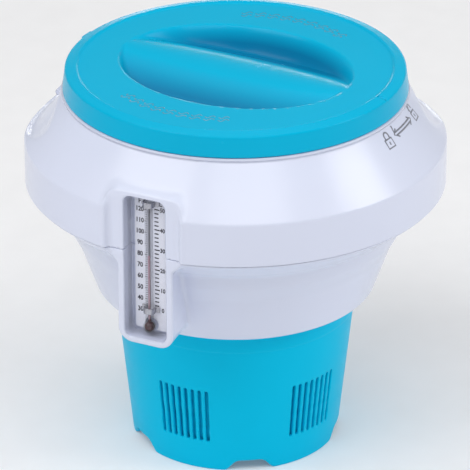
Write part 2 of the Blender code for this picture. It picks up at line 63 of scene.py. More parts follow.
# Thermometer housing
FACE_Y = 88.5  # its flat face, this far in front of the axis
HOUSING_HALF, HOUSING_BACK_HALF, HOUSING_BACK_Y = 13.2, 5.9, 50.0
HOUSING_WIDE, HOUSING_LOW, HOUSING_DROP, HOUSING_TOP = 16.8, 79.7, 4.5, 150.4
HOUSING_CORNER, FLARE_Z, FLARE_HEIGHT = 6.5, 115.6, 5.4  # it widens from FLARE_Z up
WINDOW_HALF, WINDOW_LOW, WINDOW_TOP, WINDOW_BACK = 9.9, 82.4, 148.8, 80.7
WINDOW_WALL = 2.2

# Thermometer
CARD_INSET, CARD_MIDDLE, CARD_HALF = 2.05, 0.85, 0.35  # middle: in front of the window's back
CARD_Y = WINDOW_BACK + 1.2  # its printed face
BULB_HOLE_R = 3.1
TUBE_Y, TUBE_R, TUBE_TOP = WINDOW_BACK + 3.25, 1.8, 145.6
BULB_Z, BULB_R, BORE_R, THREAD_R = 86.9, 2.85, 0.62, 0.5
NECK_Z, THREAD_TOP = BULB_Z + 3.4, 120.5
GLASS_WALL, SPIRIT_GAP = 0.45, 0.2
CLIP_R, CLIP_HALF_THICK, CLIP_HALF_HIGH = 2.3, 0.3, 1.4
CLIP_LOWS = (("tube_clip_lower", 93.4), ("tube_clip_upper", 143.6))

# Print on the card
SCALE_START, SCALE_START_Z, FAHRENHEIT_STEP = 30, 93.3, 0.528  # mm for one degree Fahrenheit
FAHRENHEIT_END, CELSIUS_END = 120, 50
NUMBER_EVERY, TICK_EVERY = 10, 2
FAHRENHEIT_X, CELSIUS_X, UNIT_C_X, UNIT_Z = -5.3, 5.45, 4.6, 144.6
TEXT_NARROWED, TEXT_BOLDER, PRINT_LIFT = 0.86, 0.09, 0.01

# Two long hollows in the shoulder. The left one has a pocket with the tether bar across it.
TETHER_AZ, PLAIN_AZ = -84.0, 145.0
DISH_LENGTH, DISH_HEIGHT, DISH_DEPTH, DISH_DROP = 46.0, 14.6, 3.4, 1.6
DISH_FLOOR_SHARE, DISH_FLARE, DISH_STEEPNESS = 0.80, 0.074, 13.0
POCKET_HALF, POCKET_LOW, POCKET_TOP, POCKET_BACK = 7.0, 146.2, 161.6, 71.4
BAR_R, BAR_HALF_DEEP, BAR_LOW, BAR_TOP, BAR_HALF_LONG = 80.15, 1.45, 152.7, 155.1, 8.5
HOLLOW_WALL = 2.0

# Basket
BASKET_AZ, BASKET_R, BASKET_Z, BASKET_SLOPE = -2.0, 50.2, 38.7, 0.107
GROUPS, SLOTS, SLOT_PITCH, SLOT_W = 5, 8, 3.75, 1.5
SLOT_LOW, SLOT_HIGH = 14.4, 40.7
NOTCH_AZ, NOTCH_TOP, NOTCH_HALF_LOW, NOTCH_HALF_TOP = 34.0, 4.7, 12.8, 7.5

# Flow dial
DIAL_R, DIAL_Z, DIAL_HALF = 32.0, 6.0, 1.4
FINGER_LONG, FINGER_WIDE, FINGER_TAPER_Z = 26.0, 5, 5.4
POINTER_R, POINTER_BACK, POINTER_HALF_WIDE, POINTER_HALF_HIGH = 34.5, 25, 1.7, 1.2
SCREW_HOLE_R, SCREW_HEAD_R, SCREW_HEAD_Z = 1.9, 3.7, 3.4

# Lid
LID_AZ, LID_LOW, PANEL_Z = 87.0, 166.0, 175.6
GRIP_A, GRIP_B, GRIP_DEPTH, GRIP_RIM = 54.0, 43.0, 13.0, 7.0
GRIP_END, GRIP_WALL, GRIP_WALL_GROW = 62, 2.2, 1.4
GROOVE_Z, GROOVE_HALF, GROOVE_FLARE, GROOVE_START = 175.2, 0.5, 0.36, 69.6
TAB_AZ, TAB_HALF, TAB_LOW, TAB_TOP, TAB_BACK, TAB_FRONT = LID_AZ - 181.0, 4.1, 168.0, 174.2, 73.5, 76.6
SHADE_START, SHADE_FULL = 1.0, 7.0  # depths below the flat top where the shade painted into the grip starts and is full
SHADE_IN_R, SHADE_OUT_R = 58.0, 62.0  # and radii where it begins to fade and is gone

# Camera: degrees, metres, and the lens in mm
CAMERA_AZ, CAMERA_ELEVATION, CAMERA_DISTANCE, LOOKS_AT_Z = 26.0, 26.03, 2.0, 0.0935
LENS, SENSOR, SHIFT = 346.06, 36.0, -0.0013


# ---------------------------------------------------------------- signed distances


def smooth_min(a, b, k):
    h = np.clip(0.5 + 0.5 * (b - a) / k, 0, 1)
    return b + (a - b) * h - k * h * (1 - h)


def smooth_max(a, b, k):
    return -smooth_min(-a, -b, k)


def smooth_step(t):
    t = np.clip(t, 0, 1)
    return t * t * (3 - 2 * t)


def rounded(points, arc=10.0):
    """Corners (u, v, radius) to a closed outline whose arcs turn by about this many degrees a step."""
    out = []
    for i, corner in enumerate(points):
        here = Vector(corner[:2])
        radius = corner[2] if len(corner) > 2 else 0.0
        if radius <= 0:
            out.append(tuple(here))
            continue
        to_last = Vector(points[i - 1][:2]) - here
        to_next = Vector(points[(i + 1) % len(points)][:2]) - here
        half = to_last.angle(to_next) / 2
        cut = min(radius / math.tan(half), 0.49 * to_last.length, 0.49 * to_next.length)
        radius = cut * math.tan(half)
        middle = (to_last.normalized() + to_next.normalized()).normalized()
        centre = here + middle * radius / math.sin(half)
        start = here + to_last.normalized() * cut - centre
        end = here + to_next.normalized() * cut - centre
        first = math.atan2(start.y, start.x)
        turn = (math.atan2(end.y, end.x) - first + math.pi) % (2 * math.pi) - math.pi
        steps = max(2, math.ceil(abs(math.degrees(turn)) / arc))
        for k in range(steps + 1):
            a = first + turn * k / steps
            out.append((centre.x + radius * math.cos(a), centre.y + radius * math.sin(a)))
    return out


def outline_distance(points, spacing=LATTICE_STEP):
    """Signed distance to a closed outline, looked up in a fine lattice and read between its points."""
    corners = np.array(rounded(points))
    low, high = corners.min(0) - LATTICE_MARGIN, corners.max(0) + LATTICE_MARGIN
    size = np.ceil((high - low) / spacing).astype(int) + 1
    u, v = np.meshgrid(*(low[k] + spacing * np.arange(size[k]) for k in (0, 1)), indexing="ij")
    nearest = np.full(u.shape, 1e9)
    inside = np.zeros(u.shape, bool)
    for (au, av), (bu, bv) in zip(corners, np.roll(corners, -1, 0)):
        du, dv = bu - au, bv - av
        if du == 0 and dv == 0:
            continue
        t = np.clip(((u - au) * du + (v - av) * dv) / (du * du + dv * dv), 0, 1)
        nearest = np.minimum(nearest, (u - au - t * du) ** 2 + (v - av - t * dv) ** 2)
        if dv != 0:
            inside ^= ((av > v) != (bv > v)) & (u < du * (v - av) / dv + au)
    lattice = np.where(inside, -1, 1) * np.sqrt(nearest)

    def distance(u, v):
        u = np.clip((u - low[0]) / spacing, 0, size[0] - 1.001)
        v = np.clip((v - low[1]) / spacing, 0, size[1] - 1.001)
        i, j = u.astype(int), v.astype(int)
        u, v = u - i, v - j
        near = lattice[i, j] * (1 - u) + lattice[i + 1, j] * u
        far = lattice[i, j + 1] * (1 - u) + lattice[i + 1, j + 1] * u
        return near * (1 - v) + far * v

    return distance


def corner_distance(du, dv):
    """Distance to a square corner, from the distances to its two sides."""
    return np.hypot(np.maximum(du, 0), np.maximum(dv, 0)) + np.minimum(np.maximum(du, dv), 0)


def rounded_box(u, v, half_u, low_v, high_v, radius):
    """An endless bar with rounded edges: from -half_u to half_u one way, low_v to high_v the other."""
    du = np.abs(u) - half_u + radius
    dv = np.abs(v - (low_v + high_v) / 2) - (high_v - low_v) / 2 + radius
    return corner_distance(du, dv) - radius


def side_and_out(x, y, az):
    """Sideways and outwards from the axis, for someone who looks out along this azimuth."""
    a = math.radians(az)
    return x * math.cos(a) + y * math.sin(a), x * math.sin(a) - y * math.cos(a)


# ---------------------------------------------------------------- meshes


def evaluate(field, points):
    out = np.empty(len(points))
    for start in range(0, len(points), BATCH):
        x, y, z = points[start : start + BATCH].T
        out[start : start + BATCH] = field(x, y, z)
    return out


def gradient(field, points, reach):
    out = np.empty_like(points)
    for axis in range(3):
        shift = np.zeros(3)
        shift[axis] = reach
        out[:, axis] = evaluate(field, points + shift) - evaluate(field, points - shift)
    return out / (2 * reach)


def round_place(az, r, z):
    a = np.radians(az)
    return np.stack([r * np.sin(a), -r * np.cos(a), z], -1)


def square_place(x, y, z):
    return np.stack([x, y, z], -1)


def lines(*stops):
    """Grid lines along one axis: a place, then (next place, step) for each stretch after it."""
    out = [np.array([stops[0]], float)]
    last = stops[0]
    for place, step in stops[1:]:
        count = max(1, math.ceil((place - last) / (step * COARSE)))
        out.append(np.linspace(last, place, count + 1)[1:])
        last = place
    return np.concatenate(out)


def turns(count):
    """Azimuths all round, the first one again at the end."""
    return np.linspace(0, 360, int(count / COARSE) + 1)


def one_middle_point(points, index, cells, axis_cell):
    """The cells that meet on the axis share one point for each height."""
    for height in np.unique(cells[axis_cell, 2]):
        same = np.nonzero(axis_cell & (cells[:, 2] == height))[0]
        points[same[0]] = points[same].mean(0)
        index[tuple(cells[same].T)] = same[0]


def grid_surface(field, u, v, w, place, wrap):
    """Points and faces of the zero surface: one point in each grid cell that it passes through."""
    values = evaluate(field, place(*np.meshgrid(u, v, w, indexing="ij")).reshape(-1, 3))
    values = values.reshape(len(u), len(v), len(w))
    if wrap:
        values[-1] = values[0]
    inside = values < 0
    corners = [(a, b, c) for a in (0, 1) for b in (0, 1) for c in (0, 1)]
    shape = tuple(n - 1 for n in values.shape)
    count = np.zeros(shape, int)
    for a, b, c in corners:
        count += inside[a : a + shape[0], b : b + shape[1], c : c + shape[2]]
    active = (count > 0) & (count < 8)
    cells = np.stack(np.nonzero(active), -1)
    index = np.full(shape, -1)
    index[active] = np.arange(len(cells))

    total, crossings = np.zeros((len(cells), 3)), np.zeros(len(cells))
    for axis in range(3):
        for corner in corners:
            if corner[axis]:
                continue
            far = tuple(1 if k == axis else corner[k] for k in range(3))
            near_value, far_value = values[tuple((cells + corner).T)], values[tuple((cells + far).T)]
            cross = (near_value < 0) != (far_value < 0)
            offset = np.tile(np.array(corner, float), (len(cells), 1))
            offset[:, axis] = near_value / np.where(cross, near_value - far_value, 1)
            total += offset * cross[:, None]
            crossings += cross
    spot = (cells + total / crossings[:, None]).T
    points = place(*(np.interp(s, np.arange(len(line)), line) for s, line in zip(spot, (u, v, w))))
    if wrap and v[0] < 0:
        one_middle_point(points, index, cells, cells[:, 1] == 0)

    quads = []
    for axis in range(3):
        b, c = (axis + 1) % 3, (axis + 2) % 3
        here, there = [slice(None)] * 3, [slice(None)] * 3
        here[axis], there[axis] = slice(0, -1), slice(1, None)
        edge = np.stack(np.nonzero(inside[tuple(here)] != inside[tuple(there)]), -1)
        keep = np.ones(len(edge), bool)
        for k in (b, c):
            low = 0 if k == 0 and wrap else 1
            keep &= (edge[:, k] >= low) & (edge[:, k] < shape[k])
        edge = edge[keep]
        ring = []
        for db, dc in ((-1, -1), (0, -1), (0, 0), (-1, 0)):
            cell = edge.copy()
            cell[:, b] += db
            cell[:, c] += dc
            cell[:, 0] %= shape[0]
            ring.append(index[tuple(cell.T)])
        quad = np.stack(ring, -1)
        quads.append(np.where(inside[tuple(edge.T)][:, None], quad, quad[:, ::-1]))
    return points, np.concatenate(quads)


def skin(name, field, u, v, w, place=round_place, wrap=True):
    """A piece whose surface is where the field is zero. Its normals are the field's own slope."""
    points, quads = grid_surface(field, u, v, w, place, wrap)
    for _ in range(SETTLE_ROUNDS):
        slope = gradient(field, points, SETTLE_REACH)
        length = np.maximum((slope**2).sum(1), FLATTEST)
        move = -slope * (evaluate(field, points) / length)[:, None]
        far = np.linalg.norm(move, axis=1)
        points += move * np.minimum(1, SETTLE_MOST / np.maximum(far, 1e-9))[:, None]
    normals = gradient(field, points, NORMAL_REACH)
    normals /= np.maximum(np.linalg.norm(normals, axis=1), 1e-6)[:, None]
    a, b, c, d = (points[quads[:, k]] for k in range(4))
    facing = np.einsum("ij,ij->i", np.cross(c - a, d - b), normals[quads[:, 0]])
    if np.sum(np.sign(facing)) < 0:
        quads = quads[:, ::-1]
    return mesh_piece(name, points, quads.tolist(), normals)


def mesh_piece(name, points, faces, normals=None, crisp=None):
    """A mesh object from points in mm. A face that names a point twice loses the second one."""
    faces = [list(dict.fromkeys(face)) for face in faces]
    used = np.unique([i for face in faces for i in face])
    renumber = np.full(len(points), -1)
    renumber[used] = np.arange(len(used))
    mesh = bpy.data.meshes.new(name)
    mesh.from_pydata(np.asarray(points)[used] * MM, [], [renumber[face].tolist() for face in faces])
    mesh.shade_smooth()
    if crisp is not None:
        mesh.set_sharp_from_angle(angle=math.radians(crisp))
    if normals is not None:
        mesh.normals_split_custom_set_from_vertices(normals[used].tolist())
    obj = bpy.data.objects.new(name, mesh)
    bpy.context.collection.objects.link(obj)
    return obj


def turned(name, outline, sides, y=0.0):
    """An outline (radius, height) turned about the upright line through 0, y."""
    outline = rounded(outline, 15.0)
    points, faces = [], []
    for r, z in outline:
        for k in range(sides):
            x, dy, _ = round_place(360.0 * k / sides, r, z)
            points.append((x, y + dy, z))
    for j in range(len(outline)):
        low, high = j * sides, (j + 1) % len(outline) * sides
        for k in range(sides):
            m = (k + 1) % sides
            if outline[j][0] < 1e-6 and high and points[low][2] == points[high][2]:
                continue
            faces.append((low + k, low + m, high + m, high + k))
    return mesh_piece(name, points, faces, crisp=35)


def paint(obj, material):
    obj.data.materials.clear()
    obj.data.materials.append(material)


def place_piece(obj, body, material, slot, *nodes):
    paint(obj, material)
    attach(obj, body)
    if nodes:
        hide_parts(*nodes)


# ---------------------------------------------------------------- materials


def principled(name, colour, roughness, **values):
    """A Principled material: itself, its node tree and its shader."""
    made = bpy.data.materials.new(name)
    made.use_nodes = True
    tree = made.node_tree
    shader = tree.nodes["Principled BSDF"]
    shader.inputs["Base Color"].default_value = (*colour, 1)
    shader.inputs["Roughness"].default_value = roughness
    for key, value in values.items():
        shader.inputs[key].default_value = value
    return made, tree, shader


def noise(tree, scale, detail=3.0, roughness=0.5, stretch=(1.0, 1.0, 1.0)):
    coords = tree.nodes.new("ShaderNodeTexCoord")
    mapping = tree.nodes.new("ShaderNodeMapping")
    mapping.inputs["Scale"].default_value = stretch
    texture = tree.nodes.new("ShaderNodeTexNoise")
    texture.inputs["Scale"].default_value = scale
    texture.inputs["Detail"].default_value = detail
    texture.inputs["Roughness"].default_value = roughness
    tree.links.new(coords.outputs["Object"], mapping.inputs["Vector"])
    tree.links.new(mapping.outputs["Vector"], texture.inputs["Vector"])
    return texture.outputs["Fac"]


def spread(tree, source, low, high, from_low=0.3, from_high=0.7):
    node = tree.nodes.new("ShaderNodeMapRange")
    node.inputs["From Min"].default_value = from_low
    node.inputs["From Max"].default_value = from_high
    node.inputs["To Min"].default_value = low
    node.inputs["To Max"].default_value = high
    tree.links.new(source, node.inputs["Value"])
    return node.outputs["Result"]


# Sockets of a Mix node that mixes colours: several share a name, so they are found by number.
MIX_FACTOR, MIX_LOW, MIX_HIGH, MIX_RESULT = 0, 6, 7, 2


def blend_colour(tree, factor, low, high):
    """Low and high are colours, or an output to take one from."""
    mix = tree.nodes.new("ShaderNodeMix")
    mix.data_type = "RGBA"
    for socket, value in ((mix.inputs[MIX_LOW], low), (mix.inputs[MIX_HIGH], high)):
        if isinstance(value, bpy.types.NodeSocket):
            tree.links.new(value, socket)
        else:
            socket.default_value = (*value, 1)
    tree.links.new(factor, mix.inputs[MIX_FACTOR])
    return mix.outputs[MIX_RESULT]


def bump(tree, shader, height, strength, distance):
    node = tree.nodes.new("ShaderNodeBump")
    node.inputs["Strength"].default_value = strength
    node.inputs["Distance"].default_value = distance
    tree.links.new(height, node.inputs["Height"])
    tree.links.new(node.outputs["Normal"], shader.inputs["Normal"])


def hollow_share(tree):
    """How much painted shade a place in the lid's grip gets, by its depth: 0 on the flat top, 1 deep in the
    hollows.
    """
    coords = tree.nodes.new("ShaderNodeTexCoord")
    parts = tree.nodes.new("ShaderNodeSeparateXYZ")
    tree.links.new(coords.outputs["Object"], parts.inputs["Vector"])
    level = tree.nodes.new("ShaderNodeVectorMath")
    level.operation = "MULTIPLY"
    level.inputs[1].default_value = (1.0, 1.0, 0.0)
    tree.links.new(coords.outputs["Object"], level.inputs[0])
    radius = tree.nodes.new("ShaderNodeVectorMath")
    radius.operation = "LENGTH"
    tree.links.new(level.outputs["Vector"], radius.inputs[0])
    low, high = (PANEL_Z - SHADE_FULL) * MM, (PANEL_Z - SHADE_START) * MM
    deep = spread(tree, parts.outputs["Z"], 1.0, 0.0, low, high)
    within = spread(tree, radius.outputs["Value"], 1.0, 0.0, SHADE_IN_R * MM, SHADE_OUT_R * MM)
    both = tree.nodes.new("ShaderNodeMath")
    both.operation = "MULTIPLY"
    tree.links.new(deep, both.inputs[0])
    tree.links.new(within, both.inputs[1])
    return both.outputs["Value"]


def moulded_plastic(name, colour, worn, roughness, grain, gloss, hollow_shade=None):
    """Injection-moulded plastic: faint flow clouds, handling marks in the gloss, rubbed edges.
    A last colour, if given, is painted as shade down in the lid's grip, darkest deep in its hollows."""
    made, tree, shader = principled(name, colour, roughness)
    shader.inputs["Specular IOR Level"].default_value = gloss
    clouds = spread(tree, noise(tree, 14.0, 4.0), 0.0, 1.0)
    base = blend_colour(tree, clouds, [c * 0.98 for c in colour], [min(1, c * 1.015) for c in colour])
    geometry = tree.nodes.new("ShaderNodeNewGeometry")
    edge = spread(tree, geometry.outputs["Pointiness"], 0.0, 0.3, 0.60, 0.75)
    coloured = blend_colour(tree, edge, base, worn)
    # painted shade: the lid's grip is darkened by depth to stand in for the shade in its hollows
    if hollow_shade:
        coloured = blend_colour(tree, hollow_share(tree), coloured, hollow_shade)
    tree.links.new(coloured, shader.inputs["Base Color"])
    smears = noise(tree, 38.0, 5.0, 0.6, (1.0, 1.0, 3.0))
    tree.links.new(spread(tree, smears, roughness * 0.85, roughness * 1.15), shader.inputs["Roughness"])
    bump(tree, shader, noise(tree, 420.0, 2.0), grain, 0.0001)
    return made


def see_through(name, tint, roughness, face_on, edge_on):
    """Clear plastic or glass: less of what is behind shows where the surface is seen edge-on."""
    made, tree, shader = principled(name, tint, roughness)
    window = tree.nodes.new("ShaderNodeBsdfTransparent")
    window.inputs["Color"].default_value = (*tint, 1)
    layer = tree.nodes.new("ShaderNodeLayerWeight")
    layer.inputs["Blend"].default_value = 0.5
    haze = spread(tree, noise(tree, 120.0, 4.0), -0.015, 0.015)
    share = tree.nodes.new("ShaderNodeMath")
    share.operation = "ADD"
    share.use_clamp = True
    tree.links.new(spread(tree, layer.outputs["Facing"], face_on, edge_on, 0.3, 1.0), share.inputs[0])
    tree.links.new(haze, share.inputs[1])
    mix = tree.nodes.new("ShaderNodeMixShader")
    tree.links.new(share.outputs["Value"], mix.inputs["Fac"])
    tree.links.new(window.outputs["BSDF"], mix.inputs[1])
    tree.links.new(shader.outputs["BSDF"], mix.inputs[2])
    tree.links.new(mix.outputs["Shader"], tree.nodes["Material Output"].inputs["Surface"])
    gloss = spread(tree, noise(tree, 60.0, 4.0), roughness * 0.7, roughness * 1.5)
    tree.links.new(gloss, shader.inputs["Roughness"])
    bump(tree, shader, noise(tree, 90.0, 2.0), 0.1, 0.0002)
    return made


def fine_grained(name, low, high, roughness, scale, strength, **values):
    """Card, ink, glass thread or metal: two tones in a fine grain."""
    made, tree, shader = principled(name, low, roughness, **values)
    grain = noise(tree, scale, 4.0)
    colour = blend_colour(tree, spread(tree, grain, 0.0, 1.0), low, high)
    tree.links.new(colour, shader.inputs["Base Color"])
    tree.links.new(spread(tree, grain, roughness * 0.8, roughness * 1.2), shader.inputs["Roughness"])
    bump(tree, shader, grain, strength, 0.0001)
    return made


WHITE = moulded_plastic("white_shell_plastic", (0.72, 0.76, 0.91), (0.80, 0.83, 0.93), 0.22, 0.02, 0.45)
TEAL = moulded_plastic("teal_basket_plastic", (0.0, 0.55, 0.83), (0.0, 0.57, 0.85), 0.36, 0.02, 0.06)
# The lid's last colour is shade painted into its grip's hollows, not a tone of the plastic.
LID_TEAL = moulded_plastic(
    "teal_lid_plastic", (0.0, 0.46, 0.72), (0.0, 0.48, 0.74), 0.24, 0.01, 0.12, (0.0, 0.21, 0.41)
)
LINER = moulded_plastic("liner_plastic", (0.42, 0.46, 0.52), (0.5, 0.54, 0.6), 0.45, 0.2, 0.4)
CLEAR = see_through("clear_cover_plastic", (0.985, 0.988, 1.0), 0.08, 0.01, 0.12)
GLASS = see_through("tube_glass", (0.96, 0.965, 0.98), 0.05, 0.01, 0.20)
SPIRIT = fine_grained("red_spirit", (0.05, 0.010, 0.012), (0.08, 0.015, 0.018), 0.18, 300.0, 0.02)
COLUMN = fine_grained("spirit_column", (0.55, 0.33, 0.37), (0.62, 0.40, 0.44), 0.18, 300.0, 0.02)
CARD = fine_grained("printed_card_stock", (0.90, 0.91, 0.98), (0.93, 0.94, 1.0), 0.55, 900.0, 0.10)
INK = fine_grained("card_ink", (0.015, 0.015, 0.03), (0.03, 0.03, 0.05), 0.6, 1500.0, 0.05)
PAD_INK = fine_grained("shell_ink", (0.20, 0.21, 0.25), (0.27, 0.28, 0.33), 0.5, 1200.0, 0.05)
WAVE_INK = fine_grained("lid_ink", (0.04, 0.33, 0.50), (0.07, 0.38, 0.55), 0.5, 1200.0, 0.05)
CLIP = fine_grained("clip_metal", (0.42, 0.42, 0.45), (0.55, 0.55, 0.58), 0.35, 700.0, 0.1, Metallic=1.0)
STEEL = fine_grained("screw_steel", (0.50, 0.50, 0.52), (0.62, 0.62, 0.64), 0.3, 700.0, 0.1, Metallic=1.0)


# ---------------------------------------------------------------- float


def share_back(y):
    """How far back in the housing a place is: 0 at its face, 1 where it ends in the bowl."""
    return np.clip((FACE_Y + y) / (FACE_Y - HOUSING_BACK_Y), -0.2, 1.2)


def housing_half(y, z):
    """Half width of the housing: narrower towards the float, wider where it meets the collar."""
    narrow = HOUSING_HALF + (HOUSING_BACK_HALF - HOUSING_HALF) * share_back(y)
    return narrow + (HOUSING_WIDE - narrow) * smooth_step((z - FLARE_Z) / FLARE_HEIGHT)


def recess(x, y):
    """The room in front of the housing's flat face, where the collar band is cut away."""
    return smooth_max((np.abs(x) - HOUSING_WIDE + 0.5 * (y + FACE_Y)) * 0.89, y + FACE_Y, 2.0)


def window(x, y, z, grow=0.0):
    hole = rounded_box(x, z, WINDOW_HALF + grow, WINDOW_LOW - grow, WINDOW_TOP + grow, 3.0 + grow)
    return np.maximum(hole, y + WINDOW_BACK - grow)


LOWER_TOP = SEAM_Z - SEAM_GAP / 2
UPPER_LOW = SEAM_Z + SEAM_GAP / 2
LOWER_OUTSIDE = outline_distance([
    (0, 72.0), (54.3, 72.0, 0.7), (61.4, 72.4, 3.0), (65.4, 83.5, 12), (69.6, 95.5, 20), (73.6, 103.0, 10),
    (76.8, 110.8, 8), (91.2, 122.0, 1.2), (91.7, LOWER_TOP, 0.05), (0, LOWER_TOP),
])
LOWER_ROOM = outline_distance([
    (0, 60.0), (52.3, 60.0), (52.3, 74.6), (59.4, 74.8, 2), (63.2, 84.2, 10), (67.4, 96.3, 18),
    (71.3, 103.9, 9), (74.9, 112.2, 7), (88.0, 122.0), (88.0, 130.0), (0, 130.0),
])
UPPER_OUTSIDE = outline_distance([
    (0, UPPER_LOW), (COLLAR_R, UPPER_LOW, 0.05), (COLLAR_R, SHOULDER_Z, 1.8), (LEDGE_R, STEP_Z, 0.3),
    (LEDGE_R + 0.6, STEP_Z + 0.5, 0.3), (LEDGE_R + 0.6, LEDGE_Z + 0.2, 0.4), (70.2, LEDGE_Z + 0.2, 0.3),
    (70.2, 172.6, 0.4), (0, 172.6),
])
UPPER_ROOM = outline_distance([
    (0, 100.0), (90.3, 100.0), (90.3, 141.8, 2.5), (74.0, 161.9, 1), (67.6, 162.6), (67.6, 190.0), (0, 190.0),
])


def lower_shell(x, y, z):
    r = np.hypot(x, y)
    side = np.abs(x) - housing_half(y, z) + HOUSING_CORNER
    under = HOUSING_LOW - HOUSING_DROP * share_back(y) - z + HOUSING_CORNER
    block = smooth_max(corner_distance(side, under) - HOUSING_CORNER, -y - FACE_Y, 1.4)
    block = np.maximum(np.maximum(block, y + 52.0), z - LOWER_TOP)
    solid = smooth_min(LOWER_OUTSIDE(r, z), block, 2.2)
    solid = smooth_max(solid, -recess(x, y), 0.8)
    room = np.maximum(LOWER_ROOM(r, z), -window(x, y, z, WINDOW_WALL))
    solid = np.maximum(np.maximum(solid, -room), z - LOWER_TOP)
    return smooth_max(solid, -window(x, y, z), 0.5)


def dish(x, y, z, grow=0.0):
    """The two hollows: long ovals that open outwards, of an even depth, with a rounded floor."""
    r = np.hypot(x, y)
    up = SLOPE_UP * (z - SLOPE_Z) - SLOPE_IN * (r - SLOPE_R) + DISH_DROP
    out = SLOPE_UP * (r - SLOPE_R) + SLOPE_IN * (z - SLOPE_Z)
    flare = DISH_FLOOR_SHARE + DISH_FLARE * np.clip(out + DISH_DEPTH, -1, 4)
    hollows = []
    for az in (TETHER_AZ, PLAIN_AZ):
        turn = np.mod(np.arctan2(x, -y) - math.radians(az) + math.pi, 2 * math.pi) - math.pi
        oval = np.hypot(turn * SLOPE_R / (DISH_LENGTH * flare), up / (DISH_HEIGHT * flare)) - 1
        hollows.append(smooth_max(oval * DISH_STEEPNESS - grow, -out - DISH_DEPTH - grow, 2.0))
    return np.minimum(*hollows)


def tether_pocket(x, y, z, grow=0.0):
    side, out = side_and_out(x, y, TETHER_AZ)
    outline = rounded_box(side, z, POCKET_HALF + grow, POCKET_LOW - grow, POCKET_TOP + grow, 1.0)
    return np.maximum(outline, POCKET_BACK - grow - out)


def tether_bar(x, y, z):
    side, out = side_and_out(x, y, TETHER_AZ)
    section = rounded_box(out - BAR_R, z, BAR_HALF_DEEP, BAR_LOW, BAR_TOP, 0.9)
    return np.maximum(section, np.abs(side) - BAR_HALF_LONG)


def upper_shell(x, y, z):
    r = np.hypot(x, y)
    block = rounded_box(x, z, HOUSING_WIDE, 100.0, HOUSING_TOP, 4.0)
    block = smooth_max(block, -y - FACE_Y, 1.2)
    block = np.maximum(np.maximum(block, y + 66.0), UPPER_LOW - z)
    solid = smooth_min(UPPER_OUTSIDE(r, z), block, 4.5)
    solid = smooth_max(solid, -recess(x, y), 1.4)
    solid = smooth_max(solid, -dish(x, y, z), 0.9)
    solid = smooth_max(solid, -tether_pocket(x, y, z), 0.5)
    solid = smooth_min(solid, tether_bar(x, y, z), 0.5)
    hollows = np.minimum(dish(x, y, z, HOLLOW_WALL), tether_pocket(x, y, z, HOLLOW_WALL))
    walls = np.minimum(window(x, y, z, WINDOW_WALL), hollows)
    walls = np.minimum(walls, np.maximum(np.abs(x) - 28.0, y + FACE_Y - WINDOW_WALL))
    room = np.maximum(UPPER_ROOM(r, z), -walls)
    solid = np.maximum(np.maximum(solid, -room), UPPER_LOW - z)
    return smooth_max(solid, -window(x, y, z), 0.5)


def build_float():
    rows = lines(122, (174, 0.9))
    piece = skin("upper_shell_skin", upper_shell, turns(660), lines(64.5, (94, 0.9)), rows)
    place_piece(piece, "float", WHITE, "white_shell", "upper_shell")
    rows = lines(70, (125.4, 0.9))
    piece = skin("lower_shell_skin", lower_shell, turns(620), lines(47, (94, 0.9)), rows)
    place_piece(piece, "float", WHITE, "white_shell", "lower_shell")


# ---------------------------------------------------------------- basket


def basket_r(z):
    return BASKET_R + BASKET_SLOPE * (z - BASKET_Z)


def from_group(x, y, middle):
    """Degrees from the nearest of the directions that repeat all round, the first at this azimuth."""
    each = 360.0 / GROUPS
    return np.mod(np.degrees(np.arctan2(x, -y)) - middle + each / 2, each) - each / 2


def slots(x, y, z):
    az = from_group(x, y, BASKET_AZ)
    number = np.clip(np.round(az / SLOT_PITCH + (SLOTS - 1) / 2), 0, SLOTS - 1)
    off = az - (number - (SLOTS - 1) / 2) * SLOT_PITCH
    return rounded_box(np.hypot(x, y) * np.radians(off), z, SLOT_W / 2, SLOT_LOW, SLOT_HIGH, 0.6)


BASKET_OUTLINE = outline_distance([
    (basket_r(0) - 3.0, 0, 0.5), (basket_r(0), 0, 0.6), (basket_r(61.7), 61.7, 0.3),
    (basket_r(61.7) + 0.4, 62.3, 0.3), (basket_r(71.4) + 0.3, 71.4, 0.4), (51.8, 71.4), (51.8, 84.0, 0.4),
    (49.8, 84.0, 0.4), (49.8, 70.0), (basket_r(50) - 2, 50), (basket_r(10) - 2, 10.0), (5.2, 10.0),
    (5.2, 8.0), (basket_r(8) - 3, 8.0),
])


def basket(x, y, z):
    solid = BASKET_OUTLINE(np.hypot(x, y), z)
    solid = smooth_max(solid, -slots(x, y, z), 0.3)
    wide = NOTCH_HALF_TOP + (NOTCH_HALF_LOW - NOTCH_HALF_TOP) * np.clip(1 - z / NOTCH_TOP, -0.3, 1.3)
    beside = (np.abs(from_group(x, y, NOTCH_AZ)) - wide) * math.radians(1) * basket_r(0)
    notch = smooth_max(beside * 0.75, z - NOTCH_TOP, 1.6)
    return smooth_max(solid, -notch, 1.4)


def build_basket():
    around = turns(480)
    out = lines(3.5, (41, 3.0), (56.5, 0.65))
    rows = lines(-0.8, (8, 0.55), (16, 0.9), (39, 2.4), (43, 0.7), (60, 2.8), (85.2, 0.7))
    piece = skin("basket_skin", basket, around, out, rows)
    place_piece(piece, "float", TEAL, "teal_plastic", "basket")


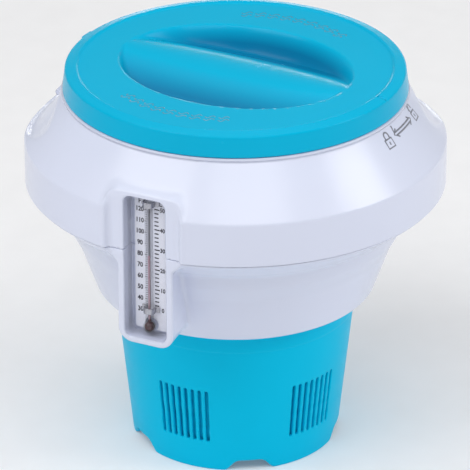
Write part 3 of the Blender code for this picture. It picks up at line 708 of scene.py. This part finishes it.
def dial(x, y, z):
    """Disc with a finger bar under it, the pointer on its edge and the hole for the screw."""
    r = np.hypot(x, y)
    disc = smooth_max(r - DIAL_R, np.abs(z - DIAL_Z) - DIAL_HALF, 0.8)
    taper = (FINGER_TAPER_Z - z) * 0.1
    half = FINGER_WIDE - 1.4 * taper
    bar = rounded_box(x, y, FINGER_LONG - taper, -half, half, 4.2)
    bar = np.maximum(smooth_max(bar, 1.0 - z, 1.0), z - DIAL_Z)
    off = np.abs(np.arctan2(x, -y) - math.radians(BASKET_AZ)) * DIAL_R
    tip = np.maximum(off - POINTER_HALF_WIDE, POINTER_BACK - r)
    tip = smooth_max(tip, np.maximum(r - POINTER_R, np.abs(z - DIAL_Z) - POINTER_HALF_HIGH), 0.5)
    solid = smooth_min(smooth_min(disc, bar, 1.2), tip, 0.6)
    hole = np.minimum(r - SCREW_HOLE_R, np.maximum(r - SCREW_HEAD_R, z - SCREW_HEAD_Z))
    return np.maximum(solid, -hole)


def build_dial():
    across = lines(-35.4, (35.4, 0.6))
    piece = skin("flow_dial_skin", dial, across, across, lines(0.4, (8.4, 0.55)), square_place, False)
    place_piece(piece, "flow_control", TEAL, "teal_plastic", "flow_dial")


def paint_plain_pieces():
    """The pieces that keep the CAD surface, because they are hidden or seen only through the slots."""
    for node, material in (("flow_sleeve", TEAL), ("chamber_liner", LINER), ("dial_screw", STEEL)):
        paint(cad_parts[node], material)


# ---------------------------------------------------------------- lid


def grip_depth(u, v, grow=0.0):
    """Two hollows with a broad rounded ridge between them, for points along and across the grip."""
    u, v = u * GRIP_A / (GRIP_A + grow), v * GRIP_B / (GRIP_B + grow)
    along = np.sqrt(np.clip(1 - (u / GRIP_A) ** 2, 0, 1))
    edge = np.maximum(GRIP_B * along, 1e-3)
    ridge = (v / (0.76 * edge)) ** 2
    fall = ridge / (1 + ridge**3) ** (1 / 3)
    return GRIP_DEPTH * along**1.4 * fall * smooth_step((edge - np.abs(v)) / GRIP_RIM)


def grip_height(x, y, z, drop=0.0, grow=0.0):
    """How far a point stands over the grip's surface, measured square to that surface."""
    v, u = side_and_out(x, y, LID_AZ)
    depth = grip_depth(u, v, grow)
    along = (grip_depth(u + 0.3, v, grow) - grip_depth(u - 0.3, v, grow)) / 0.6
    across = (grip_depth(u, v + 0.3, grow) - grip_depth(u, v - 0.3, grow)) / 0.6
    return (z - PANEL_Z + drop + depth) / np.sqrt(1 + along**2 + across**2)


LID_OUTLINE = outline_distance([
    (-1, PANEL_Z), (68.4, PANEL_Z, 0.4), (69.4, 176.5, 0.5), (74.3, 175.4, 0.9), (75.5, 166.3, 0.5),
    (75.0, LID_LOW), (-1, LID_LOW), (-1, 150.0),
])
LID_ROOM = outline_distance([(-1, 140.0), (73.3, 140.0), (72.9, 173.2, 1.0), (70.0, 173.4), (-1, 173.4)])


def lid(x, y, z):
    r = np.hypot(x, y)
    inner = r < GRIP_END
    solid = np.where(inner, grip_height(x, y, z), np.maximum(LID_OUTLINE(r, z), LID_LOW - z))
    under_grip = grip_height(x, y, z, GRIP_WALL, GRIP_WALL_GROW)
    room = np.maximum(LID_ROOM(np.where(inner, 0, r), z), under_grip)
    solid = np.maximum(solid, -room)
    side, out = side_and_out(x, y, LID_AZ)
    beside = np.abs(side) - GROOVE_HALF - (z - GROOVE_Z) * GROOVE_FLARE
    groove = np.maximum(beside, np.maximum(GROOVE_Z - z, GROOVE_START - out))
    solid = smooth_max(solid, -groove, 0.3)
    side, out = side_and_out(x, y, TAB_AZ)
    section = rounded_box(side, z, TAB_HALF, TAB_LOW, TAB_TOP, 1.2)
    tab = smooth_max(section, np.maximum(out - TAB_FRONT, TAB_BACK - out), 0.8)
    return smooth_min(solid, tab, 0.8)


def build_lid():
    out = lines(-0.6, (0.6, 1.2), (64, 1.1), (77.2, 0.6))
    piece = skin("lid_skin", lid, turns(480), out, lines(159, (178, 0.8)))
    place_piece(piece, "lid", LID_TEAL, "lid_plastic", "lid")


# ---------------------------------------------------------------- print and marks


def ribbon(path, width):
    """Quads of a line of this width along a flat path."""
    path = [Vector(p) for p in path]
    points, faces = [], []
    for i, here in enumerate(path):
        ahead = path[min(i + 1, len(path) - 1)] - path[max(i - 1, 0)]
        side = Vector((-ahead.y, ahead.x)).normalized() * width / 2
        points += [tuple(here - side), tuple(here + side)]
    for i in range(len(path) - 1):
        faces.append((2 * i, 2 * i + 2, 2 * i + 3, 2 * i + 1))
    return points, faces


def joined(shapes):
    """The points and faces of several shapes as those of one."""
    points, faces = [], []
    for more_points, more_faces in shapes:
        faces += [[i + len(points) for i in face] for face in more_faces]
        points += more_points
    return points, faces


def printed(name, points, faces, thick):
    """Faces that lie on a surface, thickened outwards by this many mm."""
    obj = mesh_piece(name, points, faces)
    solidify = obj.modifiers.new("thickness", "SOLIDIFY")
    solidify.thickness = thick * MM
    solidify.offset = 1.0
    return obj


def marks(name, strokes, onto, width, thick):
    """Flat strokes laid on a surface. Onto turns a flat place into a point on it."""
    points, faces = joined(ribbon(path, width) for path in strokes)
    return printed(name, [tuple(onto(*p)) for p in points], faces, thick)


def on_shoulder(az, z):
    """Places around and up the sloping shoulder, from a point on it, in mm."""
    def onto(u, w):
        height = z + w * SLOPE_UP
        r = LEDGE_R + (STEP_Z - height) * SLOPE_IN / SLOPE_UP + 0.02
        return round_place(az + math.degrees(u / r), r, height)
    return onto


def padlock(open_by):
    """Body and shackle. The shackle of an open lock is swung up to one side."""
    turn = [math.pi * k / 8 for k in range(9)]
    arch = [(-1.5 * math.cos(a), 2.2 + 1.6 * math.sin(a)) for a in turn]
    shackle = [(-1.5, 0.6), *arch, (1.5, 0.6)]
    shackle = [(u, w + (open_by if u > -1.4 else 0.0)) for u, w in shackle]
    body = [(-2.4, 0.6), (2.4, 0.6), (2.4, -3.4), (-2.4, -3.4), (-2.4, 0.6), (-1.0, 0.6)]
    keyhole = [(0.0, -0.7), (0.0, -2.1)]
    return [shackle, body, keyhole]


def turn_arrow():
    """Two lines around the shoulder with a head at each end."""
    low, high = -8.0, 8.0
    steps = [low + (high - low) * k / 12 for k in range(13)]
    upper = [(u, 0.75) for u in steps]
    lower = [(u, -0.75) for u in steps]
    heads = []
    for end, inward in ((low, 1.6), (high, -1.6)):
        heads.append([(end + inward, 2.0), (end - 0.9 * inward, 0.0), (end + inward, -2.0)])
    return [upper, lower, *heads]


def build_lock_marks():
    """Each mark is laid round the place on the shoulder at its azimuth and height."""
    for name, strokes, az, z in (
        ("lock_mark_closed", padlock(0.0), 82.2, 159.9),
        ("lock_mark_open", padlock(1.2), 104.0, 160.5),
        ("lock_mark_arrow", turn_arrow(), 93.0, 160.3),
        ("lock_tick_closed", [[(0.3, 2.0), (-0.3, -2.0)]], 86.8, 162.0),
        ("lock_tick_open", [[(1.6, 1.7), (-1.6, -1.7)]], 103.5, 163.2),
    ):
        piece = marks(name, strokes, on_shoulder(az, z), 0.75, 0.05)
        place_piece(piece, "float", PAD_INK, "white_shell")


def on_panel(az, r):
    """Places around and outwards on the lid's flat top, from a point on it, in mm."""
    def onto(u, w):
        return round_place(az + math.degrees(u / r), r + w, PANEL_Z + 0.02)
    return onto


def build_wave_marks():
    """A generic double row of waves on each side of the grip, where the real lid has its lettering."""
    waves, length, pitch = 9, 4.5, 6.1
    strokes = []
    for k in range(waves):
        start = (k - waves / 2) * pitch
        for row in (-1.4, 1.4):
            turn = [2 * math.pi * i / 14 for i in range(15)]
            strokes.append([(start + length * a / (2 * math.pi), row + 1.2 * math.sin(a)) for a in turn])
    for name, az in (("lid_waves_front", LID_AZ - 90), ("lid_waves_back", LID_AZ + 90)):
        piece = marks(name, strokes, on_panel(az, 56.5), 0.8, 0.12)
        place_piece(piece, "lid", WAVE_INK, "lid_plastic")


# ---------------------------------------------------------------- thermometer


def cover(x, y, z):
    """A clear tray, open at the back, with softened edges."""
    def plate(inset, front, radius):
        outline = rounded_box(x, z, WINDOW_HALF - inset, WINDOW_LOW + inset, WINDOW_TOP - inset, radius)
        return smooth_max(outline, -y - front, 0.6)

    outside = np.maximum(plate(0.35, FACE_Y + 0.3, 2.7), y + WINDOW_BACK + 0.4)
    return smooth_max(outside, -plate(1.35, FACE_Y - 1.1, 1.6), 0.2)


def card(x, y, z):
    """A flat card with a round hole where the bulb is."""
    half, low, high = WINDOW_HALF - CARD_INSET, WINDOW_LOW + CARD_INSET, WINDOW_TOP - CARD_INSET
    outline = rounded_box(x, z, half, low, high, 1.2)
    solid = np.maximum(outline, np.abs(y + WINDOW_BACK + CARD_MIDDLE) - CARD_HALF)
    return np.maximum(solid, BULB_HOLE_R - np.hypot(x, z - BULB_Z))


def fahrenheit_z(degrees):
    return SCALE_START_Z + FAHRENHEIT_STEP * (degrees - SCALE_START)


def celsius_z(degrees):
    return fahrenheit_z(degrees * 1.8 + 32)


def card_text(text, x, z, size):
    """Points and faces of a text on the card, centred on x, z."""
    curve = bpy.data.curves.new("label", "FONT")
    curve.body, curve.size, curve.align_x, curve.align_y = text, size, "CENTER", "CENTER"
    curve.resolution_u = 3
    curve.offset = TEXT_BOLDER
    obj = bpy.data.objects.new("label", curve)
    bpy.context.collection.objects.link(obj)
    bpy.context.view_layer.update()
    graph = bpy.context.evaluated_depsgraph_get()
    mesh = bpy.data.meshes.new_from_object(obj.evaluated_get(graph))
    points = [(x + v.co.x * TEXT_NARROWED, -CARD_Y - PRINT_LIFT, z + v.co.y) for v in mesh.vertices]
    faces = [list(polygon.vertices) for polygon in mesh.polygons]
    bpy.data.objects.remove(obj)
    bpy.data.curves.remove(curve)
    bpy.data.meshes.remove(mesh)
    return points, faces


def card_tick(x0, x1, z, half):
    """Points and face of a tick on the card, from x0 to x1."""
    corners = ((x0, -half), (x1, -half), (x1, half), (x0, half))
    return [(x, -CARD_Y - PRINT_LIFT, z + dz) for x, dz in corners], [(0, 1, 2, 3)]


def build_print():
    """Numbers and ticks of both scales, printed on the card. The ticks at the numbers are longer."""
    shapes = [card_text("F", FAHRENHEIT_X, UNIT_Z, 2.9), card_text("C", UNIT_C_X, UNIT_Z, 2.9)]
    for f in range(SCALE_START, FAHRENHEIT_END + 1, NUMBER_EVERY):
        shapes.append(card_text(str(f), FAHRENHEIT_X, fahrenheit_z(f), 3.0))
    for c in range(0, CELSIUS_END + 1, NUMBER_EVERY):
        shapes.append(card_text(str(c), CELSIUS_X, celsius_z(c), 2.7))
    for f in range(SCALE_START, FAHRENHEIT_END + 1, TICK_EVERY):
        start = -3.0 if f % NUMBER_EVERY == 0 else -2.5
        shapes.append(card_tick(start, -1.9, fahrenheit_z(f), 0.16))
    for c in range(0, CELSIUS_END + 1, TICK_EVERY):
        end = 4.1 if c % NUMBER_EVERY == 0 else 3.6
        shapes.append(card_tick(1.7, end, celsius_z(c), 0.27))
    piece = printed("card_print", *joined(shapes), 0.04)
    place_piece(piece, "float", INK, "printed_card")


def clip(z_low):
    """A metal strip bent over the tube, with a foot on the card on each side."""
    def field(x, y, z):
        r = np.hypot(x, y + TUBE_Y)
        arch = np.maximum(np.abs(r - CLIP_R) - CLIP_HALF_THICK, y + TUBE_Y - 0.5)
        legs = np.maximum(np.abs(np.abs(x) - CLIP_R) - CLIP_HALF_THICK, np.abs(y + TUBE_Y - 1.1) - 0.9)
        feet = np.maximum(np.abs(np.abs(x) - 3.1) - 1.1, np.abs(y + TUBE_Y - 1.6) - 0.28)
        strip = smooth_min(np.minimum(arch, legs), feet, 0.5)
        return smooth_max(strip, np.abs(z - z_low - CLIP_HALF_HIGH) - CLIP_HALF_HIGH, 0.25)
    return field


def bulb(radius, last):
    """A ball's outline from its lowest point up to this angle."""
    angles = [math.radians(last * k / 14) for k in range(15)]
    return [(radius * math.sin(a), BULB_Z - radius * math.cos(a)) for a in angles]


def build_thermometer():
    x, y, z = lines(-10.4, (10.4, 0.5)), lines(-90, (-80, 0.4)), lines(81.5, (149.5, 0.55))
    piece = skin("thermometer_cover_skin", cover, x, y, z, square_place, False)
    place_piece(piece, "float", CLEAR, "clear_plastic", "thermometer_cover")
    x, y = lines(-9.5, (9.5, 0.5)), lines(-82.6, (-80.4, 0.35))
    piece = skin("thermometer_card_skin", card, x, y, z, square_place, False)
    place_piece(piece, "float", CARD, "printed_card", "thermometer_card")
    outside = bulb(BULB_R, 145) + [(TUBE_R, NECK_Z, 1.0), (TUBE_R, TUBE_TOP, 0.4)]
    bore = [(BORE_R, TUBE_TOP, 0.2), (BORE_R, NECK_Z + 0.4, 0.3)] + bulb(BULB_R - GLASS_WALL, 150)[::-1]
    tube = turned("thermometer_tube_skin", outside + bore, 48, -TUBE_Y)
    place_piece(tube, "float", GLASS, "tube_glass", "thermometer_tube")
    fill_top = NECK_Z + 0.2
    fill = bulb(BULB_R - GLASS_WALL - SPIRIT_GAP, 155) + [(THREAD_R, fill_top), (0, fill_top)]
    spirit = turned("thermometer_spirit_skin", fill, 40, -TUBE_Y)
    place_piece(spirit, "float", SPIRIT, "red_spirit", "thermometer_spirit")
    thread = [(0, fill_top), (THREAD_R, fill_top), (THREAD_R, THREAD_TOP - 0.2, 0.2), (0, THREAD_TOP)]
    column = turned("thermometer_column", thread, 24, -TUBE_Y)
    place_piece(column, "float", COLUMN, "red_spirit")
    for name, low in CLIP_LOWS:
        x, y = lines(-4.6, (4.6, 0.22)), lines(-87.2, (-81.4, 0.22))
        piece = skin(name + "_skin", clip(low), x, y, lines(low - 0.3, (low + 3.1, 0.3)), square_place, False)
        place_piece(piece, "float", CLIP, "clip_metal", name)


# ---------------------------------------------------------------- stage


def build_stage():
    """A wide floor of plain paper. Its faint glow keeps it pale far from the lights."""
    size = 12.0
    corners = [(-size, -size, 0), (size, -size, 0), (size, size, 0), (-size, size, 0)]
    mesh = bpy.data.meshes.new("floor")
    mesh.from_pydata(corners, [], [(0, 1, 2, 3)])
    floor = bpy.data.objects.new("floor", mesh)
    bpy.context.collection.objects.link(floor)
    glow = {"Emission Color": (1, 1, 1, 1), "Emission Strength": 0.12}
    paper = fine_grained("floor_paper", (0.80, 0.80, 0.81), (0.82, 0.82, 0.83), 0.9, 60.0, 0.0, **glow)
    mesh.materials.append(paper)


def soft_box(name, direction, distance, width, height, power):
    """A soft light that far from the object, turned towards its middle."""
    data = bpy.data.lights.new(name, "AREA")
    data.shape = "RECTANGLE"
    data.size, data.size_y, data.energy = width, height, power
    light = bpy.data.objects.new(name, data)
    middle = Vector((0, 0, 0.1))
    away = Vector(direction).normalized()
    light.location = middle + away * distance
    light.rotation_mode = "QUATERNION"
    light.rotation_quaternion = away.to_track_quat("Z", "Y")
    bpy.context.collection.objects.link(light)


def build_lights():
    world = bpy.data.worlds.new("studio")
    world.use_nodes = True
    background = world.node_tree.nodes["Background"]
    background.inputs["Color"].default_value = (1.0, 1.0, 1.0, 1)
    background.inputs["Strength"].default_value = 0.28
    bpy.context.scene.world = world
    for name, direction, distance, width, height, power in (
        ("window_right", (0.83, 0.227, 0.509), 1.6, 0.7, 0.7, 7.6),
        ("top_back", (-0.2, 0.4, 0.95), 1.8, 1.6, 0.8, 3.8),
        ("front_top", (0.35, -0.5, 0.86), 2.0, 1.2, 1.2, 9.9),
        ("front_left", (-0.6, -0.9, 1.3), 2.4, 1.6, 1.6, 25.6),
        ("low_back", (-0.30, 0.95, 0.08), 1.6, 1.4, 0.07, 2.0),
    ):
        soft_box(name, direction, distance, width, height, power)


def build_camera():
    """The view of the photograph."""
    azimuth, elevation = math.radians(CAMERA_AZ), math.radians(CAMERA_ELEVATION)
    level = math.cos(elevation)
    away = Vector((math.sin(azimuth) * level, -math.cos(azimuth) * level, math.sin(elevation)))
    data = bpy.data.cameras.new("camera")
    data.sensor_width = SENSOR
    data.lens = LENS
    data.shift_x = SHIFT
    camera = bpy.data.objects.new("camera", data)
    camera.location = Vector((0, 0, LOOKS_AT_Z)) + away * CAMERA_DISTANCE
    camera.rotation_mode = "QUATERNION"
    camera.rotation_quaternion = away.to_track_quat("Z", "Y")
    bpy.context.collection.objects.link(camera)
    bpy.context.scene.camera = camera


build_camera()
build_float()
build_basket()
build_dial()
paint_plain_pieces()
build_lid()
build_thermometer()
build_print()
build_lock_marks()
build_wave_marks()
build_stage()
build_lights()
bpy.context.scene.view_settings.view_transform = "Standard"
